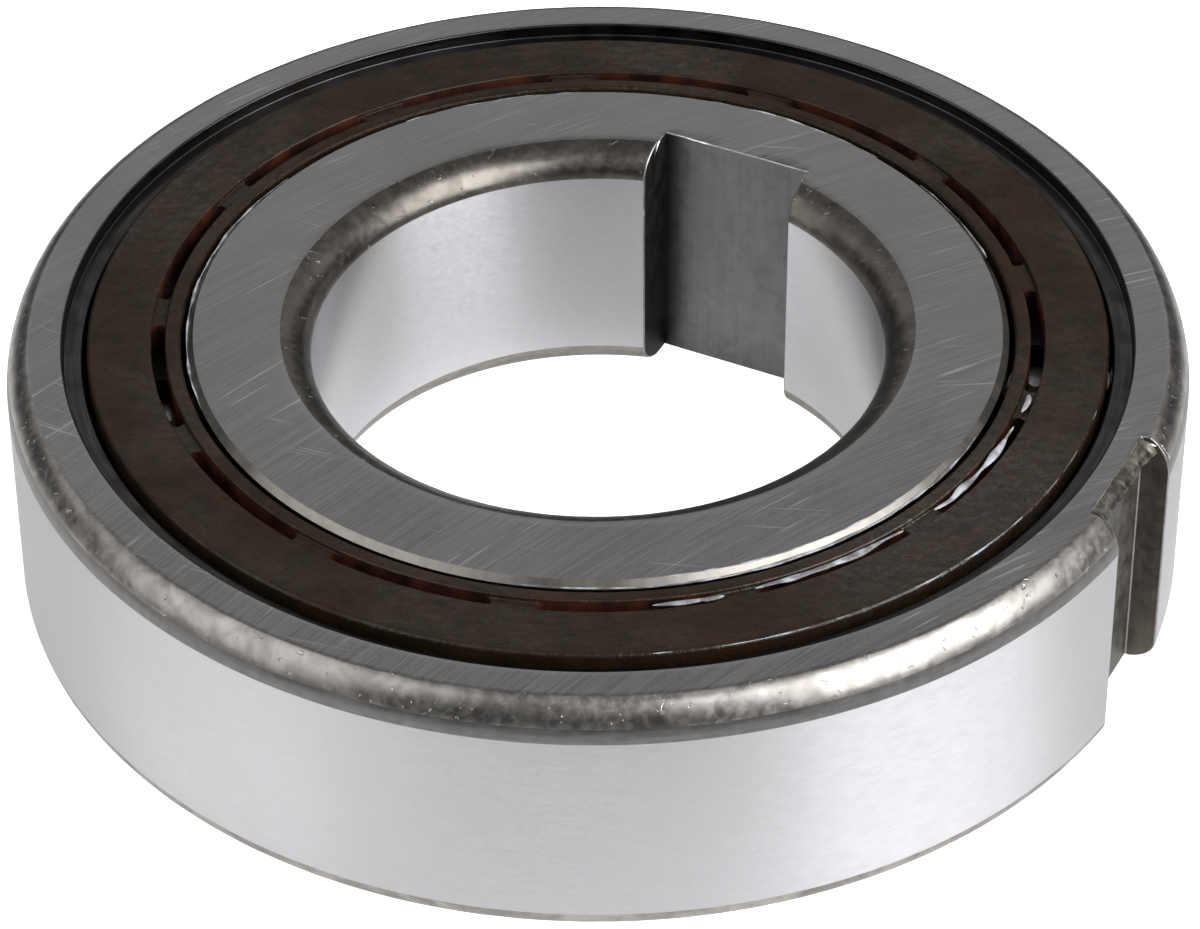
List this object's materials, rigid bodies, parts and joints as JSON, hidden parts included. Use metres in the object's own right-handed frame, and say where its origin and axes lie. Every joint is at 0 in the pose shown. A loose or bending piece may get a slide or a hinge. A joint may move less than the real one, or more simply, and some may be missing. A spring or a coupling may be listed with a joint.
{
  "type": "one-way clutch ball bearing",
  "caption": "One-way clutch bearing: balls and sprags share a brown moulded cage between two ground steel rings with a keyway in the bore and one in the outside.",
  "frame": {"origin": "centre of the bearing, on its axis at mid width", "axes": "+Z along the bearing axis; +X through the middle of the outer ring's keyway; +Y through the middle of the bore's keyway"},
  "size_m": [0.0718, 0.072, 0.017],
  "materials": {
    "ring_steel": "ground",
    "ball_steel": "polished",
    "sprag_steel": "satin",
    "spring_steel": "drawn wire",
    "cage_polymer": "satin, greased"
  },
  "bodies": {
    "outer_ring": {"outer_ring": "ring_steel"},
    "inner_ring": {"inner_ring": "ring_steel"},
    "cage": {"cage_core": "cage_polymer", "cage_plate_upper": "cage_polymer", "cage_plate_lower": "cage_polymer", "garter_spring_upper": "spring_steel", "garter_spring_lower": "spring_steel"},
    "ball_01": {"ball_01": "ball_steel"},
    "ball_02": {"ball_02": "ball_steel"},
    "ball_03": {"ball_03": "ball_steel"},
    "ball_04": {"ball_04": "ball_steel"},
    "ball_05": {"ball_05": "ball_steel"},
    "ball_06": {"ball_06": "ball_steel"},
    "ball_07": {"ball_07": "ball_steel"},
    "ball_08": {"ball_08": "ball_steel"},
    "ball_09": {"ball_09": "ball_steel"},
    "ball_10": {"ball_10": "ball_steel"},
    "ball_11": {"ball_11": "ball_steel"},
    "ball_12": {"ball_12": "ball_steel"},
    "ball_13": {"ball_13": "ball_steel"},
    "sprag_01": {"sprag_01": "sprag_steel"},
    "sprag_02": {"sprag_02": "sprag_steel"},
    "sprag_03": {"sprag_03": "sprag_steel"},
    "sprag_04": {"sprag_04": "sprag_steel"},
    "sprag_05": {"sprag_05": "sprag_steel"},
    "sprag_06": {"sprag_06": "sprag_steel"},
    "sprag_07": {"sprag_07": "sprag_steel"},
    "sprag_08": {"sprag_08": "sprag_steel"},
    "sprag_09": {"sprag_09": "sprag_steel"},
    "sprag_10": {"sprag_10": "sprag_steel"},
    "sprag_11": {"sprag_11": "sprag_steel"},
    "sprag_12": {"sprag_12": "sprag_steel"},
    "sprag_13": {"sprag_13": "sprag_steel"}
  },
  "joints": [
    {"name": "inner_ring_spin", "type": "hinge", "parent": "outer_ring", "child": "inner_ring", "pos_m": [0, 0, 0], "axis": [0, 0, 1], "continuous": true},
    {"name": "cage_spin", "type": "hinge", "parent": "outer_ring", "child": "cage", "pos_m": [0, 0, 0], "axis": [0, 0, 1], "continuous": true},
    {"name": "ball_01_spin", "type": "hinge", "parent": "cage", "child": "ball_01", "pos_m": [0.0278, 0.00445, 0], "axis": [0, 0, 1], "continuous": true},
    {"name": "ball_02_spin", "type": "hinge", "parent": "cage", "child": "ball_02", "pos_m": [0.02254, 0.01686, 0], "axis": [0, 0, 1], "continuous": true},
    {"name": "ball_03_spin", "type": "hinge", "parent": "cage", "child": "ball_03", "pos_m": [0.01213, 0.0254, 0], "axis": [0, 0, 1], "continuous": true},
    {"name": "ball_04_spin", "type": "hinge", "parent": "cage", "child": "ball_04", "pos_m": [-0.00107, 0.02813, 0], "axis": [0, 0, 1], "continuous": true},
    {"name": "ball_05_spin", "type": "hinge", "parent": "cage", "child": "ball_05", "pos_m": [-0.01402, 0.02441, 0], "axis": [0, 0, 1], "continuous": true},
    {"name": "ball_06_spin", "type": "hinge", "parent": "cage", "child": "ball_06", "pos_m": [-0.02376, 0.0151, 0], "axis": [0, 0, 1], "continuous": true},
    {"name": "ball_07_spin", "type": "hinge", "parent": "cage", "child": "ball_07", "pos_m": [-0.02805, 0.00233, 0], "axis": [0, 0, 1], "continuous": true},
    {"name": "ball_08_spin", "type": "hinge", "parent": "cage", "child": "ball_08", "pos_m": [-0.02592, -0.01097, 0], "axis": [0, 0, 1], "continuous": true},
    {"name": "ball_09_spin", "type": "hinge", "parent": "cage", "child": "ball_09", "pos_m": [-0.01785, -0.02176, 0], "axis": [0, 0, 1], "continuous": true},
    {"name": "ball_10_spin", "type": "hinge", "parent": "cage", "child": "ball_10", "pos_m": [-0.00569, -0.02757, 0], "axis": [0, 0, 1], "continuous": true},
    {"name": "ball_11_spin", "type": "hinge", "parent": "cage", "child": "ball_11", "pos_m": [0.00777, -0.02706, 0], "axis": [0, 0, 1], "continuous": true},
    {"name": "ball_12_spin", "type": "hinge", "parent": "cage", "child": "ball_12", "pos_m": [0.01945, -0.02035, 0], "axis": [0, 0, 1], "continuous": true},
    {"name": "ball_13_spin", "type": "hinge", "parent": "cage", "child": "ball_13", "pos_m": [0.02668, -0.00898, 0], "axis": [0, 0, 1], "continuous": true},
    {"name": "sprag_01_tilt", "type": "hinge", "parent": "cage", "child": "sprag_01", "pos_m": [0.02592, 0.01097, 0], "axis": [0, 0, 1], "range_deg": [0, 6]},
    {"name": "sprag_02_tilt", "type": "hinge", "parent": "cage", "child": "sprag_02", "pos_m": [0.01785, 0.02176, 0], "axis": [0, 0, 1], "range_deg": [0, 6]},
    {"name": "sprag_03_tilt", "type": "hinge", "parent": "cage", "child": "sprag_03", "pos_m": [0.00569, 0.02757, 0], "axis": [0, 0, 1], "range_deg": [0, 6]},
    {"name": "sprag_04_tilt", "type": "hinge", "parent": "cage", "child": "sprag_04", "pos_m": [-0.00777, 0.02706, 0], "axis": [0, 0, 1], "range_deg": [0, 6]},
    {"name": "sprag_05_tilt", "type": "hinge", "parent": "cage", "child": "sprag_05", "pos_m": [-0.01945, 0.02035, 0], "axis": [0, 0, 1], "range_deg": [0, 6]},
    {"name": "sprag_06_tilt", "type": "hinge", "parent": "cage", "child": "sprag_06", "pos_m": [-0.02668, 0.00898, 0], "axis": [0, 0, 1], "range_deg": [0, 6]},
    {"name": "sprag_07_tilt", "type": "hinge", "parent": "cage", "child": "sprag_07", "pos_m": [-0.0278, -0.00445, 0], "axis": [0, 0, 1], "range_deg": [0, 6]},
    {"name": "sprag_08_tilt", "type": "hinge", "parent": "cage", "child": "sprag_08", "pos_m": [-0.02254, -0.01686, 0], "axis": [0, 0, 1], "range_deg": [0, 6]},
    {"name": "sprag_09_tilt", "type": "hinge", "parent": "cage", "child": "sprag_09", "pos_m": [-0.01213, -0.0254, 0], "axis": [0, 0, 1], "range_deg": [0, 6]},
    {"name": "sprag_10_tilt", "type": "hinge", "parent": "cage", "child": "sprag_10", "pos_m": [0.00107, -0.02813, 0], "axis": [0, 0, 1], "range_deg": [0, 6]},
    {"name": "sprag_11_tilt", "type": "hinge", "parent": "cage", "child": "sprag_11", "pos_m": [0.01402, -0.02441, 0], "axis": [0, 0, 1], "range_deg": [0, 6]},
    {"name": "sprag_12_tilt", "type": "hinge", "parent": "cage", "child": "sprag_12", "pos_m": [0.02376, -0.0151, 0], "axis": [0, 0, 1], "range_deg": [0, 6]},
    {"name": "sprag_13_tilt", "type": "hinge", "parent": "cage", "child": "sprag_13", "pos_m": [0.02805, -0.00233, 0], "axis": [0, 0, 1], "range_deg": [0, 6]}
  ],
  "couplings": [
    {"joint": "cage_spin", "follows": "inner_ring_spin", "ratio": 0.43655},
    {"joint": "ball_01_spin", "follows": "inner_ring_spin", "ratio": -3.8769},
    {"joint": "ball_02_spin", "follows": "inner_ring_spin", "ratio": -3.8769},
    {"joint": "ball_03_spin", "follows": "inner_ring_spin", "ratio": -3.8769},
    {"joint": "ball_04_spin", "follows": "inner_ring_spin", "ratio": -3.8769},
    {"joint": "ball_05_spin", "follows": "inner_ring_spin", "ratio": -3.8769},
    {"joint": "ball_06_spin", "follows": "inner_ring_spin", "ratio": -3.8769},
    {"joint": "ball_07_spin", "follows": "inner_ring_spin", "ratio": -3.8769},
    {"joint": "ball_08_spin", "follows": "inner_ring_spin", "ratio": -3.8769},
    {"joint": "ball_09_spin", "follows": "inner_ring_spin", "ratio": -3.8769},
    {"joint": "ball_10_spin", "follows": "inner_ring_spin", "ratio": -3.8769},
    {"joint": "ball_11_spin", "follows": "inner_ring_spin", "ratio": -3.8769},
    {"joint": "ball_12_spin", "follows": "inner_ring_spin", "ratio": -3.8769},
    {"joint": "ball_13_spin", "follows": "inner_ring_spin", "ratio": -3.8769},
    {"joint": "sprag_02_tilt", "follows": "sprag_01_tilt", "ratio": 1},
    {"joint": "sprag_03_tilt", "follows": "sprag_01_tilt", "ratio": 1},
    {"joint": "sprag_04_tilt", "follows": "sprag_01_tilt", "ratio": 1},
    {"joint": "sprag_05_tilt", "follows": "sprag_01_tilt", "ratio": 1},
    {"joint": "sprag_06_tilt", "follows": "sprag_01_tilt", "ratio": 1},
    {"joint": "sprag_07_tilt", "follows": "sprag_01_tilt", "ratio": 1},
    {"joint": "sprag_08_tilt", "follows": "sprag_01_tilt", "ratio": 1},
    {"joint": "sprag_09_tilt", "follows": "sprag_01_tilt", "ratio": 1},
    {"joint": "sprag_10_tilt", "follows": "sprag_01_tilt", "ratio": 1},
    {"joint": "sprag_11_tilt", "follows": "sprag_01_tilt", "ratio": 1},
    {"joint": "sprag_12_tilt", "follows": "sprag_01_tilt", "ratio": 1},
    {"joint": "sprag_13_tilt", "follows": "sprag_01_tilt", "ratio": 1}
  ]
}
